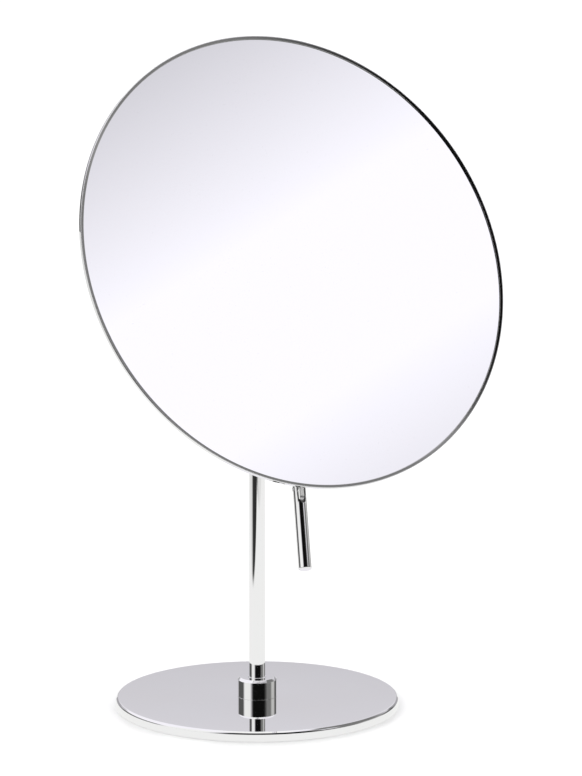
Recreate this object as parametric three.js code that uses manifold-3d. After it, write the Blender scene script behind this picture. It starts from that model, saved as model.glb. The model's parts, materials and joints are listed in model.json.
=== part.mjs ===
// Countertop mirror: a round plain mirror on a ball joint, carried by a chromed post on a weighted disc foot.
// Millimetres, +Z up. Origin: centre of the foot's underside. The mirror faces -Y and looks up a little.
import * as THREE from 'three';
import { mergeVertices } from 'three/addons/utils/BufferGeometryUtils.js';
import Module from 'manifold-3d';

const wasm = await Module();
wasm.setup();

// ---- driving dimensions ----
const FOOT_DIAMETER = 140;
const MIRROR_DIAMETER = 230;
const POST_DIAMETER = 8;
const BALL_DIAMETER = 12;
const HANDLE_DIAMETER = 6.5;
const JOINT_HEIGHT = 222.7;        // ball centre above the table
const JOINT_REACH = 21.6;          // ball centre in front of the post's axis
const REST_TILT = THREE.MathUtils.degToRad(27.5);   // how far the mirror looks up at rest
const REST_SPIN = THREE.MathUtils.degToRad(-11.2);  // handle swung to the mirror's left at rest

// ---- clearances and details ----
const RUNNING_GAP = 0.1;           // between turned pieces that slide or rest on each other
const SEAT_GAP = 0.3;              // between pieces of the tilted head
const EDGE_BREAK = 0.4;            // small chamfer on turned steel
const DRILL_EXTRA = 1;             // how far a drilling tool passes the face it enters
const ROUND = 64;                  // facets round a large turned piece
const MEDIUM_ROUND = 32;           // facets round the collar, post and handle
const JOINT_ROUND = 24;            // facets round the pieces on the ball
const SMALL_ROUND = 20;            // facets round a small turned piece
const HOLE_ROUND = 16;             // facets round a screw hole

// ---- foot and post ----
const FOOT_RADIUS = FOOT_DIAMETER / 2;
const PAD_THICKNESS = 1.2;
const PAD_PROUD = 0.2;             // the pad stands this far below the plate's edge
const PLATE_RECESS_RADIUS = 67;    // the pad lies in a shallow recess
const PLATE_TOP = 5.2;
const PLATE_BEVEL = 1;
const SCREW_RADIUS = 2;
const SCREW_HEAD_RADIUS = 3.8;
const SCREW_HEAD_RECESS = 0.2;     // the head stays this far above the pad
const SCREW_SOCKET = 2.5;          // across flats
const SCREW_SOCKET_DEPTH = 1;
const SCREW_SHORT_OF_PLUG = 2;     // the screw ends this far below the plug's upper end
const COUNTERBORE_RADIUS = 5.5;
const COUNTERBORE_TOP = 3.9;
const WASHER_THICKNESS = 0.8;
const WASHER_SPLIT = 0.6;
const COLLAR_RADIUS = 9.7;
const COLLAR_HEIGHT = 9.8;
const COLLAR_BEVEL = 1.2;
const COLLAR_SCREW_END = 9.3;
const POST_RADIUS = POST_DIAMETER / 2;
const POST_WALL = 0.9;
const PLUG_LENGTH = 16;
const POST_HEAD_RADIUS = 6;
const POST_HEAD_BELOW = 16;        // post head's lower end below the joint
const POST_HEAD_ABOVE = 8;
const POST_HEAD_CHAMFER = 0.8;
const POST_HEAD_DOME = 2;
const TUBE_TOP_BELOW = 5;          // tube's upper end below the joint
const HEAD_SCREW_BELOW = 11;
const HEAD_SCREW_END = 5.6;
const STUD_BORE_DEPTH = 4;         // behind the post's axis
const SET_SCREW_RADIUS = 1.5;
const SET_SCREW_SOCKET_RADIUS = 0.87;
const SET_SCREW_SOCKET_DEPTH = 1;

// ---- ball joint, all on spheres about the ball's centre ----
const BALL_RADIUS = BALL_DIAMETER / 2;
const STUD_RADIUS = 2;
const STUD_TAIL = 3.5;             // the stud ends this far behind the post's axis
const LOCKNUT_FLATS = 7;
const LOCKNUT_THICKNESS = 2.6;
const LINER_INNER = BALL_RADIUS + RUNNING_GAP;
const LINER_OUTER = LINER_INNER + 1;
const CAVITY_RADIUS = LINER_OUTER + 0.2;
const FRONT_LINER_ANGLE = 34;      // degrees from the mirror's axis
const REAR_LINER_ANGLES = [98, 116];
const CAVITY_LIP_ANGLE = 118;
const PAD_FACE_ANGLE = 60;

// ---- mirror head, heights along the mirror's axis from the ball's centre ----
const GLASS_FRONT = 16;
const GLASS_THICKNESS = 2;
const GLASS_BACK = GLASS_FRONT - GLASS_THICKNESS;
const GLASS_REAR_ARRIS = 0.9;      // ground slope on the glass's rear edge
const RIM_RADIUS = MIRROR_DIAMETER / 2;
const RIM_WALL = 0.7;
const RIM_LIP = 1.7;               // width of the lip over the glass
const RIM_LIP_EDGE = 0.2;          // thickness of the lip's inner edge
const RIM_LIP_RISE = 0.5;          // the lip rises outwards
const RIM_SIDE = 2.1;              // height of the rim's straight side
const RIM_TAPER = 3.4;             // how far the rim draws in behind its side
const RIM_CURL = 2.1;              // how far the curl reaches in behind the pan
const PAN_REAR = 10.4;
const PAN_THICKNESS = 0.8;
const PAN_EDGE_STEP = 1.3;         // the pan's edge lies this far in front of its middle
const PAN_FLAT_RADIUS = 100;
const PAN_STEP_RADIUS = 104;
const PAN_EDGE_RADIUS = RIM_RADIUS - 3.8;
const PAN_SLANT = 0.2;             // keeps the pan's wall even across its step
const GASKET_RADII = [RIM_RADIUS - 8.5, RIM_RADIUS - 3.5];
const FLANGE_RADIUS = 20;
const FLANGE_REAR = 8.4;
const FLANGE_FRONT = PAN_REAR - SEAT_GAP;
const FLANGE_EDGE = 0.5;
const HOUSING_RADIUS = 9.8;
const HOUSING_BORE = 8;
const HOUSING_LIP_CHAMFER = 1.5;
const HOUSING_ROOT = 1.2;          // slope between the cup and its flange
const PRESSURE_PAD_FRONT = 8.6;
const PRESSURE_PAD_PLAY = 0.2;
const SPRING = { inner: 2.5, outer: 7.5, rear: 8.9, rise: 0.55, thickness: 0.5 };
const HUB_SCREW_CIRCLE = 15.5;
const HUB_SCREW_COUNT = 4;
const HUB_SCREW_RADIUS = 1.4;
const HUB_PLATE_RADIUS = 24;
const INNER_PLATE_REAR = PAN_REAR + PAN_THICKNESS + SEAT_GAP;
const INNER_PLATE_FRONT = INNER_PLATE_REAR + 1;
const BACKING_RADII = [26, 78];
const SCREW_HEAD_HEIGHT = 1.8;
const SCREW_HEAD_RATIO = 1.85;     // head to shank
const SCREW_SLOT = { width: 0.7, depth: 0.7 };

// ---- handle, radii measured from the mirror's axis ----
const HANDLE_RADIUS = HANDLE_DIAMETER / 2;
const HANDLE_LEVEL = 3.5;          // handle's axis in front of the ball's centre
const HANDLE_START = 107;
const HANDLE_END = 152;
const HANDLE_ROUNDING = 0.6;       // of its lower edge, in two slopes
const SLOT_WIDTH = 2.8;
const SLOT_END = 119.6;
const TONGUE_WIDTH = 2.2;
const TONGUE_END = 118.6;
const TONGUE_DEPTH = 5.6;
const PIN_PLACE = 112;
const PIN_RADIUS = 1;
const PIN_SHORT = 0.4;             // the pin is this much shorter than the rod is thick
const STRIP = { start: 84, end: 99, width: 16, thickness: 1.8 };
const WEB_START = 87;
const WEB_FRONT_BEND = 106;
const WEB_REAR_BEND = 103;
const WEB_SUNK = 0.5;              // the web's root lies this deep in the strip
const BRACKET_PLATE_LENGTH = 12;
const BRACKET_SCREW_PLACE = 90;
const BRACKET_SCREW_OFFSET = 5;
const BRACKET_SCREW_RADIUS = 1.2;

// ---- materials ----
const metal = (color, roughness) => new THREE.MeshStandardMaterial({ color, roughness, metalness: 1 });
const soft = (color, roughness) => new THREE.MeshStandardMaterial({ color, roughness, metalness: 0 });
const chrome = () => metal(0xd8dade, 0.08);
const steel = () => metal(0x9a9da2, 0.35);
const silvering = () => metal(0xf4f6fa, 0.02);
const nylon = () => soft(0xe8e6de, 0.5);
const rubber = () => soft(0x1b1b1c, 0.85);
const foam = () => soft(0x4a4a4d, 0.95);

// ---- geometry helpers ----
const point = (x, y) => new THREE.Vector2(x, y);

// Points on a circle about the ball's centre, by angle from the mirror's axis.
function arc(radius, fromDegrees, toDegrees, steps = 5) {
  return Array.from({ length: steps + 1 }, (_, i) => {
    const angle = THREE.MathUtils.degToRad(fromDegrees + ((toDegrees - fromDegrees) * i) / steps);
    const x = Math.abs(angle) < 1e-9 ? 0 : radius * Math.sin(angle);
    return point(x, radius * Math.cos(angle));
  });
}

// A closed solid from any three.js geometry whose surface is closed.
function solid(geometry) {
  const bare = geometry.clone();
  bare.deleteAttribute('normal');
  bare.deleteAttribute('uv');
  const merged = mergeVertices(bare, 1e-4);
  const index = merged.index.array;
  const triangles = [];
  for (let i = 0; i < index.length; i += 3) {
    const [a, b, c] = [index[i], index[i + 1], index[i + 2]];
    if (a !== b && b !== c && c !== a) triangles.push(a, b, c);
  }
  return new wasm.Manifold(new wasm.Mesh({
    numProp: 3,
    vertProperties: new Float32Array(merged.attributes.position.array),
    triVerts: new Uint32Array(triangles),
  }));
}

function geometryOf(manifold) {
  const { vertProperties, triVerts } = manifold.getMesh();
  const geometry = new THREE.BufferGeometry();
  geometry.setAttribute('position', new THREE.BufferAttribute(vertProperties, 3));
  geometry.setIndex(new THREE.BufferAttribute(triVerts, 1));
  geometry.computeVertexNormals();
  return geometry;
}

// A solid turned about Z. The profile's points are (radius, height), listed anticlockwise.
function turned(profile, facets = SMALL_ROUND) {
  const points = [...profile];
  const closesOnAxis = points[0].x === 0 && points[points.length - 1].x === 0;
  if (!closesOnAxis) points.push(points[0].clone());
  return solid(new THREE.LatheGeometry(points, facets).rotateX(Math.PI / 2));
}

function disc(radius, bottom, top, facets = SMALL_ROUND) {
  return turned([point(0, bottom), point(radius, bottom), point(radius, top), point(0, top)], facets);
}

function ring(innerRadius, outerRadius, bottom, top, facets = SMALL_ROUND) {
  return turned([
    point(innerRadius, bottom),
    point(outerRadius, bottom),
    point(outerRadius, top),
    point(innerRadius, top),
  ], facets);
}

// A drilling tool or pin along Y, centred on the given place.
function crossRod(radius, length, x, y, z, facets = HOLE_ROUND) {
  return solid(new THREE.CylinderGeometry(radius, radius, length, facets).translate(x, y, z));
}

// A drilling tool along +Y that starts at the given depth and passes the given end.
function crossDrill(radius, from, to, height) {
  return crossRod(radius, to - from, 0, (from + to) / 2, height);
}

// A pin or drilling tool across the handle, parallel to X.
function pinRod(radius, length) {
  const rod = new THREE.CylinderGeometry(radius, radius, length, SMALL_ROUND).rotateZ(Math.PI / 2);
  return solid(rod.translate(0, -PIN_PLACE, HANDLE_LEVEL));
}

// A drilling tool or shank along Z, away from the axis.
function shank(radius, x, y, bottom, top, facets = HOLE_ROUND) {
  const rod = new THREE.CylinderGeometry(radius, radius, top - bottom, facets).rotateX(Math.PI / 2);
  return solid(rod.translate(x, y, (bottom + top) / 2));
}

function block(width, depth, height, x, y, z) {
  return solid(new THREE.BoxGeometry(width, depth, height).translate(x, y, z));
}

// A hexagonal tool or nut along Z.
function hexagon(acrossFlats, bottom, top) {
  const corner = acrossFlats / Math.sqrt(3);
  const prism = new THREE.CylinderGeometry(corner, corner, top - bottom, 6).rotateX(Math.PI / 2);
  return solid(prism.translate(0, 0, (bottom + top) / 2));
}

function add(parent, name, manifold, material) {
  const mesh = new THREE.Mesh(geometryOf(manifold), material);
  mesh.name = name;
  parent.add(mesh);
  return mesh;
}

// ---- foot ----
function footPad() {
  return disc(PLATE_RECESS_RADIUS - SEAT_GAP, 0, PAD_THICKNESS, ROUND);
}

function basePlate() {
  return turned([
    point(SCREW_RADIUS + RUNNING_GAP, COUNTERBORE_TOP),
    point(COUNTERBORE_RADIUS, COUNTERBORE_TOP),
    point(COUNTERBORE_RADIUS, PAD_THICKNESS),
    point(PLATE_RECESS_RADIUS, PAD_THICKNESS),
    point(PLATE_RECESS_RADIUS, PAD_PROUD),
    point(FOOT_RADIUS, PAD_PROUD),
    point(FOOT_RADIUS, PLATE_TOP - PLATE_BEVEL),
    point(FOOT_RADIUS - PLATE_BEVEL, PLATE_TOP),
    point(SCREW_RADIUS + RUNNING_GAP, PLATE_TOP),
  ], ROUND);
}

function baseScrew() {
  const headTop = COUNTERBORE_TOP - WASHER_THICKNESS;
  const headBottom = PAD_THICKNESS + SCREW_HEAD_RECESS;
  const tip = PLATE_TOP + PLUG_LENGTH - SCREW_SHORT_OF_PLUG;
  const screw = turned([
    point(0, headBottom),
    point(SCREW_HEAD_RADIUS - EDGE_BREAK, headBottom),
    point(SCREW_HEAD_RADIUS, headBottom + EDGE_BREAK),
    point(SCREW_HEAD_RADIUS, headTop),
    point(SCREW_RADIUS, headTop),
    point(SCREW_RADIUS, tip - EDGE_BREAK),
    point(SCREW_RADIUS - EDGE_BREAK, tip),
    point(0, tip),
  ]);
  const socket = hexagon(SCREW_SOCKET, headBottom - DRILL_EXTRA, headBottom + SCREW_SOCKET_DEPTH);
  return screw.subtract(socket);
}

// Split spring washer: a ring with a narrow gap.
function lockWasher() {
  const bottom = COUNTERBORE_TOP - WASHER_THICKNESS;
  const middle = (bottom + COUNTERBORE_TOP) / 2;
  const reach = SCREW_HEAD_RADIUS + DRILL_EXTRA;
  const washer = ring(SCREW_RADIUS + 2 * RUNNING_GAP, SCREW_HEAD_RADIUS, bottom, COUNTERBORE_TOP);
  return washer.subtract(block(WASHER_SPLIT, reach, 2 * WASHER_THICKNESS, 0, reach / 2, middle));
}

function baseCollar() {
  const top = PLATE_TOP + COLLAR_HEIGHT;
  const bore = POST_RADIUS + RUNNING_GAP;
  const collar = turned([
    point(bore, PLATE_TOP),
    point(COLLAR_RADIUS, PLATE_TOP),
    point(COLLAR_RADIUS, top - COLLAR_BEVEL),
    point(COLLAR_RADIUS - COLLAR_BEVEL, top),
    point(bore + EDGE_BREAK, top),
    point(bore, top - EDGE_BREAK),
  ], MEDIUM_ROUND);
  return collar.subtract(setScrewDrill(COLLAR_RADIUS, PLATE_TOP + COLLAR_HEIGHT / 2));
}

// Socket set screw along Y: tip against the post, hexagon socket outwards.
function setScrew(end, height) {
  const tip = POST_RADIUS + RUNNING_GAP;
  const body = crossRod(SET_SCREW_RADIUS, end - tip, 0, (tip + end) / 2, height);
  const socketRadius = SET_SCREW_SOCKET_RADIUS;
  const socket = new THREE.CylinderGeometry(socketRadius, socketRadius, 2 * SET_SCREW_SOCKET_DEPTH, 6);
  return body.subtract(solid(socket.translate(0, end, height)));
}

// A drilling tool from the post's surface out through the given outer radius.
function setScrewDrill(outerRadius, height) {
  const hole = SET_SCREW_RADIUS + RUNNING_GAP;
  return crossDrill(hole, POST_RADIUS - DRILL_EXTRA, outerRadius + DRILL_EXTRA, height);
}

function postTube() {
  return ring(POST_RADIUS - POST_WALL, POST_RADIUS, PLATE_TOP, JOINT_HEIGHT - TUBE_TOP_BELOW, MEDIUM_ROUND);
}

function postFootPlug() {
  const outer = POST_RADIUS - POST_WALL - RUNNING_GAP / 2;
  return ring(SCREW_RADIUS + RUNNING_GAP, outer, PLATE_TOP, PLATE_TOP + PLUG_LENGTH);
}

// Turned block on the post's upper end: the tube enters from below, the ball stud from the front.
function postHead() {
  const bottom = JOINT_HEIGHT - POST_HEAD_BELOW;
  const top = JOINT_HEIGHT + POST_HEAD_ABOVE;
  const slope = POST_HEAD_DOME * 0.3;
  const body = turned([
    point(0, bottom),
    point(POST_HEAD_RADIUS - POST_HEAD_CHAMFER, bottom),
    point(POST_HEAD_RADIUS, bottom + POST_HEAD_CHAMFER),
    point(POST_HEAD_RADIUS, top - POST_HEAD_DOME),
    point(POST_HEAD_RADIUS - slope, top - slope),
    point(POST_HEAD_RADIUS - POST_HEAD_DOME, top),
    point(0, top),
  ], MEDIUM_ROUND);
  const tubeTop = JOINT_HEIGHT - TUBE_TOP_BELOW;
  const tubeBore = disc(POST_RADIUS + RUNNING_GAP, bottom - DRILL_EXTRA, tubeTop + RUNNING_GAP, MEDIUM_ROUND);
  const front = -POST_HEAD_RADIUS - DRILL_EXTRA;
  const studBore = crossDrill(STUD_RADIUS + RUNNING_GAP, front, STUD_BORE_DEPTH, JOINT_HEIGHT);
  const screwBore = setScrewDrill(POST_HEAD_RADIUS, JOINT_HEIGHT - HEAD_SCREW_BELOW);
  return body.subtract(tubeBore).subtract(studBore).subtract(screwBore);
}

// ---- ball joint, built about the ball's centre with +Z forwards ----
function ballStud() {
  const neckAngle = 180 - THREE.MathUtils.radToDeg(Math.asin(STUD_RADIUS / BALL_RADIUS));
  const ball = arc(BALL_RADIUS, 0, neckAngle, 12).reverse();
  const tail = -(JOINT_REACH + STUD_TAIL);
  return turned([
    point(0, tail),
    point(STUD_RADIUS - EDGE_BREAK, tail),
    point(STUD_RADIUS, tail + EDGE_BREAK),
    ...ball,
  ], JOINT_ROUND);
}

// Hexagon nut against the post head's front.
function studLocknut() {
  const rear = POST_HEAD_RADIUS + RUNNING_GAP - JOINT_REACH;
  const front = rear + LOCKNUT_THICKNESS;
  const bore = disc(STUD_RADIUS + RUNNING_GAP, rear - DRILL_EXTRA, front + DRILL_EXTRA);
  return hexagon(LOCKNUT_FLATS, rear, front).subtract(bore);
}

function frontLiner() {
  const outer = arc(LINER_OUTER, FRONT_LINER_ANGLE, 0);
  const inner = arc(LINER_INNER, 0, FRONT_LINER_ANGLE);
  return turned([...inner, ...outer], JOINT_ROUND);
}

function rearLiner() {
  const [from, to] = REAR_LINER_ANGLES;
  return turned([...arc(LINER_OUTER, to, from, 3), ...arc(LINER_INNER, from, to, 3)], JOINT_ROUND);
}

// Cup behind the mirror: wide bore in front, spherical seat and lip behind, flange on the pan.
function socketHousing() {
  const seat = arc(CAVITY_RADIUS, 90, CAVITY_LIP_ANGLE, 4);
  const lip = seat[seat.length - 1];
  const cup = turned([
    ...seat,
    point(HOUSING_RADIUS - HOUSING_LIP_CHAMFER, lip.y),
    point(HOUSING_RADIUS, lip.y + HOUSING_LIP_CHAMFER),
    point(HOUSING_RADIUS, FLANGE_REAR - HOUSING_ROOT),
    point(HOUSING_RADIUS + HOUSING_ROOT, FLANGE_REAR),
    point(FLANGE_RADIUS - FLANGE_EDGE, FLANGE_REAR),
    point(FLANGE_RADIUS, FLANGE_REAR + FLANGE_EDGE),
    point(FLANGE_RADIUS, FLANGE_FRONT),
    point(HOUSING_BORE, FLANGE_FRONT),
    point(HOUSING_BORE, 0),
  ], MEDIUM_ROUND);
  return withHubHoles(cup);
}

function pressurePad() {
  const face = arc(CAVITY_RADIUS, 0, PAD_FACE_ANGLE);
  const edge = face[face.length - 1];
  const outer = HOUSING_BORE - PRESSURE_PAD_PLAY;
  return turned([
    ...face,
    point(outer, edge.y),
    point(outer, PRESSURE_PAD_FRONT),
    point(0, PRESSURE_PAD_FRONT),
  ], JOINT_ROUND);
}

function discSpring() {
  const { inner, outer, rear, rise, thickness } = SPRING;
  return turned([
    point(inner, rear + rise),
    point(outer, rear),
    point(outer, rear + thickness),
    point(inner, rear + rise + thickness),
  ], JOINT_ROUND);
}

// ---- mirror head ----
function hubPlaces() {
  return Array.from({ length: HUB_SCREW_COUNT }, (_, i) => {
    const angle = ((i + 0.5) / HUB_SCREW_COUNT) * 2 * Math.PI;
    return [HUB_SCREW_CIRCLE * Math.cos(angle), HUB_SCREW_CIRCLE * Math.sin(angle)];
  });
}

function bracketPlaces() {
  return [-1, 1].map((side) => [side * BRACKET_SCREW_OFFSET, -BRACKET_SCREW_PLACE]);
}

function withHoles(body, places, screwRadius) {
  const holes = places.map(([x, y]) => shank(screwRadius + SEAT_GAP, x, y, 0, GLASS_BACK));
  return holes.reduce((rest, hole) => rest.subtract(hole), body);
}

const withHubHoles = (body) => withHoles(body, hubPlaces(), HUB_SCREW_RADIUS);
const withBracketHoles = (body) => withHoles(body, bracketPlaces(), BRACKET_SCREW_RADIUS);

// Cheese-head screw from behind, its head clear of the face it clamps.
function headScrew(radius, x, y, seat, tip) {
  const headFront = seat - SEAT_GAP;
  const headRear = headFront - SCREW_HEAD_HEIGHT;
  const head = shank(radius * SCREW_HEAD_RATIO, x, y, headRear, headFront, SMALL_ROUND);
  const shaft = shank(radius, x, y, headFront - SCREW_SLOT.depth, tip);
  const slot = block(radius * 4, SCREW_SLOT.width, 2 * SCREW_SLOT.depth, x, y, headRear);
  return head.add(shaft).subtract(slot);
}

function hubPlate() {
  return withHubHoles(disc(HUB_PLATE_RADIUS, INNER_PLATE_REAR, INNER_PLATE_FRONT, MEDIUM_ROUND));
}

// Spun steel back: flat in the middle, with a raised edge under the glass.
function backPan() {
  const middleFront = PAN_REAR + PAN_THICKNESS;
  const edgeRear = PAN_REAR + PAN_EDGE_STEP;
  const edgeFront = edgeRear + PAN_THICKNESS;
  const pan = turned([
    point(0, PAN_REAR),
    point(PAN_FLAT_RADIUS, PAN_REAR),
    point(PAN_STEP_RADIUS, edgeRear),
    point(PAN_EDGE_RADIUS, edgeRear),
    point(PAN_EDGE_RADIUS, edgeFront),
    point(PAN_STEP_RADIUS - PAN_SLANT, edgeFront),
    point(PAN_FLAT_RADIUS - PAN_SLANT, middleFront),
    point(0, middleFront),
  ], ROUND);
  return withBracketHoles(withHubHoles(pan));
}

// Rolled rim: a lip over the glass that rises outwards, a straight side, and a curl drawn in behind the pan.
function rimRing() {
  const lipRadius = RIM_RADIUS - RIM_LIP;
  const lipRear = GLASS_FRONT + SEAT_GAP;
  const lipFront = lipRear + RIM_LIP_EDGE;
  const front = lipFront + RIM_LIP_RISE;
  const sideRear = front - RIM_SIDE;
  const curlRear = PAN_REAR + SEAT_GAP;
  const curlFront = curlRear + RIM_WALL;
  const curlOuter = RIM_RADIUS - RIM_TAPER;
  const curlInner = curlOuter - RIM_CURL;
  return turned([
    point(lipRadius, lipRear),
    point(RIM_RADIUS - RIM_WALL, lipRear),
    point(RIM_RADIUS - RIM_WALL, sideRear),
    point(curlOuter - RIM_WALL / 2, curlFront),
    point(curlInner, curlFront),
    point(curlInner, curlRear),
    point(curlOuter, curlRear),
    point(RIM_RADIUS, sideRear),
    point(RIM_RADIUS, front),
    point(lipRadius, lipFront),
  ], ROUND);
}

function mirrorGlass() {
  const radius = RIM_RADIUS - RIM_WALL - SEAT_GAP;
  return turned([
    point(0, GLASS_BACK),
    point(radius - GLASS_REAR_ARRIS, GLASS_BACK),
    point(radius, GLASS_BACK + GLASS_REAR_ARRIS),
    point(radius, GLASS_FRONT),
    point(0, GLASS_FRONT),
  ], ROUND);
}

function glassGasket() {
  const [inner, outer] = GASKET_RADII;
  const rear = PAN_REAR + PAN_EDGE_STEP + PAN_THICKNESS + RUNNING_GAP;
  return ring(inner, outer, rear, GLASS_BACK - RUNNING_GAP, ROUND);
}

function backingPad() {
  const [inner, outer] = BACKING_RADII;
  return ring(inner, outer, INNER_PLATE_REAR, GLASS_BACK - SEAT_GAP, MEDIUM_ROUND);
}

// ---- handle ----
// Foot strip on the pan with an upright web that ends as the tongue in the handle's slot.
function handleBracket() {
  const { start, end, width, thickness } = STRIP;
  const stripFront = PAN_REAR - SEAT_GAP;
  const stripMiddle = stripFront - thickness / 2;
  const strip = block(width, end - start, thickness, 0, -(start + end) / 2, stripMiddle);
  const joined = strip.add(solid(bracketWeb(stripFront - thickness + WEB_SUNK)));
  const bore = pinRod(PIN_RADIUS + SEAT_GAP, 2 * HANDLE_DIAMETER);
  return withBracketHoles(joined.subtract(bore));
}

// The web's side outline is drawn with x down the mirror and y forwards, then stood across the handle.
function bracketWeb(root) {
  const nose = TONGUE_DEPTH / 2;
  const outline = new THREE.Shape();
  outline.moveTo(WEB_START, root);
  outline.lineTo(STRIP.end, root);
  outline.lineTo(WEB_FRONT_BEND, HANDLE_LEVEL + nose);
  outline.lineTo(TONGUE_END - nose, HANDLE_LEVEL + nose);
  outline.absarc(TONGUE_END - nose, HANDLE_LEVEL, nose, Math.PI / 2, -Math.PI / 2, true);
  outline.lineTo(WEB_REAR_BEND, HANDLE_LEVEL - nose);
  outline.closePath();
  const settings = { depth: TONGUE_WIDTH, bevelEnabled: false, curveSegments: 8 };
  const web = new THREE.ExtrudeGeometry(outline, settings);
  web.translate(0, 0, -TONGUE_WIDTH / 2);
  const across = new THREE.Vector3(-1, 0, 0);
  const down = new THREE.Vector3(0, -1, 0);
  const forwards = new THREE.Vector3(0, 0, 1);
  return web.applyMatrix4(new THREE.Matrix4().makeBasis(down, forwards, across));
}

function bracketPlate() {
  const thickness = INNER_PLATE_FRONT - INNER_PLATE_REAR;
  const middle = INNER_PLATE_REAR + thickness / 2;
  const plate = block(STRIP.width, BRACKET_PLATE_LENGTH, thickness, 0, -BRACKET_SCREW_PLACE, middle);
  return withBracketHoles(plate);
}

function handleRod() {
  const rounding = HANDLE_ROUNDING;
  const slope = rounding / 3;
  const rod = turned([
    point(0, HANDLE_START),
    point(HANDLE_RADIUS, HANDLE_START),
    point(HANDLE_RADIUS, HANDLE_END - rounding),
    point(HANDLE_RADIUS - slope, HANDLE_END - slope),
    point(HANDLE_RADIUS - rounding, HANDLE_END),
    point(0, HANDLE_END),
  ], MEDIUM_ROUND).rotate([90, 0, 0]).translate([0, 0, HANDLE_LEVEL]);
  return rod.subtract(handleSlot()).subtract(pinRod(PIN_RADIUS + SEAT_GAP, 2 * HANDLE_DIAMETER));
}

// Slot through the rod from front to back, round at its lower end.
function handleSlot() {
  const roundCentre = SLOT_END - SLOT_WIDTH / 2;
  const open = HANDLE_START - DRILL_EXTRA;
  const length = roundCentre - open;
  const straight = block(SLOT_WIDTH, length, 2 * HANDLE_DIAMETER, 0, -(open + roundCentre) / 2, HANDLE_LEVEL);
  const rear = HANDLE_LEVEL - HANDLE_DIAMETER;
  const front = HANDLE_LEVEL + HANDLE_DIAMETER;
  return straight.add(shank(SLOT_WIDTH / 2, 0, -roundCentre, rear, front, JOINT_ROUND));
}

function handlePin() {
  return pinRod(PIN_RADIUS, HANDLE_DIAMETER - PIN_SHORT);
}

// ---- assembly ----
const group = new THREE.Group();

const stand = new THREE.Group();
group.add(stand);
add(stand, 'foot_pad', footPad(), rubber());
add(stand, 'base_plate', basePlate(), chrome());
add(stand, 'base_screw', baseScrew(), steel());
add(stand, 'lock_washer', lockWasher(), steel());
add(stand, 'base_collar', baseCollar(), chrome());
add(stand, 'collar_set_screw', setScrew(COLLAR_SCREW_END, PLATE_TOP + COLLAR_HEIGHT / 2), steel());
add(stand, 'post_tube', postTube(), chrome());
add(stand, 'post_foot_plug', postFootPlug(), steel());
add(stand, 'post_head', postHead(), chrome());
add(stand, 'head_set_screw', setScrew(HEAD_SCREW_END, JOINT_HEIGHT - HEAD_SCREW_BELOW), steel());

const jointCentre = new THREE.Vector3(0, -JOINT_REACH, JOINT_HEIGHT);
const studGroup = new THREE.Group();
studGroup.position.copy(jointCentre);
studGroup.rotation.x = Math.PI / 2;
group.add(studGroup);
add(studGroup, 'ball_stud', ballStud(), steel());
add(studGroup, 'stud_locknut', studLocknut(), steel());

const head = new THREE.Group();
head.position.copy(jointCentre);
head.rotation.set(Math.PI / 2 - REST_TILT, 0, REST_SPIN);
group.add(head);
add(head, 'ball_liner_front', frontLiner(), nylon());
add(head, 'ball_liner_rear', rearLiner(), nylon());
add(head, 'socket_housing', socketHousing(), chrome());
add(head, 'pressure_pad', pressurePad(), steel());
add(head, 'disc_spring', discSpring(), steel());
add(head, 'hub_plate', hubPlate(), steel());
hubPlaces().forEach(([x, y], i) => {
  const screw = headScrew(HUB_SCREW_RADIUS, x, y, FLANGE_REAR, INNER_PLATE_FRONT);
  add(head, `hub_screw_${i + 1}`, screw, steel());
});
add(head, 'back_pan', backPan(), chrome());
add(head, 'rim_ring', rimRing(), chrome());
add(head, 'mirror_glass', mirrorGlass(), silvering());
add(head, 'glass_gasket', glassGasket(), rubber());
add(head, 'backing_pad', backingPad(), foam());
add(head, 'handle_bracket', handleBracket(), steel());
add(head, 'bracket_plate', bracketPlate(), steel());
bracketPlaces().forEach(([x, y], i) => {
  const seat = PAN_REAR - SEAT_GAP - STRIP.thickness;
  const screw = headScrew(BRACKET_SCREW_RADIUS, x, y, seat, INNER_PLATE_FRONT);
  add(head, `bracket_screw_${i + 1}`, screw, steel());
});
add(head, 'handle_rod', handleRod(), chrome());
add(head, 'handle_pin', handlePin(), steel());

export default group;
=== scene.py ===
"""Countertop mirror: smooth pieces, finishes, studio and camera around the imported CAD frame."""
import json
import math

import bmesh
import bpy
from mathutils import Matrix, Vector


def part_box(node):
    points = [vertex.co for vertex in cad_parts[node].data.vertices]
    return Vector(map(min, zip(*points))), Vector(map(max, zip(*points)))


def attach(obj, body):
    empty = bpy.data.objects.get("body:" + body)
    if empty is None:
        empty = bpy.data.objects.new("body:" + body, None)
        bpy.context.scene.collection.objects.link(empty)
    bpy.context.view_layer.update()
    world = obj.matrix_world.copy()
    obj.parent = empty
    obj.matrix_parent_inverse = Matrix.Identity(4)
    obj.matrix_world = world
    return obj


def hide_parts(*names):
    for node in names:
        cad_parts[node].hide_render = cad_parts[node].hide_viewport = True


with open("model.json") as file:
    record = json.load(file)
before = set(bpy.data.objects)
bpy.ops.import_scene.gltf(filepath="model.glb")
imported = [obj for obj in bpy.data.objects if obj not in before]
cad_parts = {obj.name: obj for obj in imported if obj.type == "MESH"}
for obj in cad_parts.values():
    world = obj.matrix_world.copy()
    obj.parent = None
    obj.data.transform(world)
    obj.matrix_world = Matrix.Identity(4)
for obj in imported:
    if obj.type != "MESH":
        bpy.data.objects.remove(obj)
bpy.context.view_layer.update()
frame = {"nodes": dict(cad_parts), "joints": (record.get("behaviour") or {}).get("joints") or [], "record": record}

MM = 0.001
NODES = frame["nodes"]
RECORD = frame["record"]
BODY_OF = {node: body for body, nodes in RECORD["behaviour"]["bodies"].items() for node in nodes}
SLOT_OF = {part["node"]: part["material_slot"] for part in RECORD["subparts"]}

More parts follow.
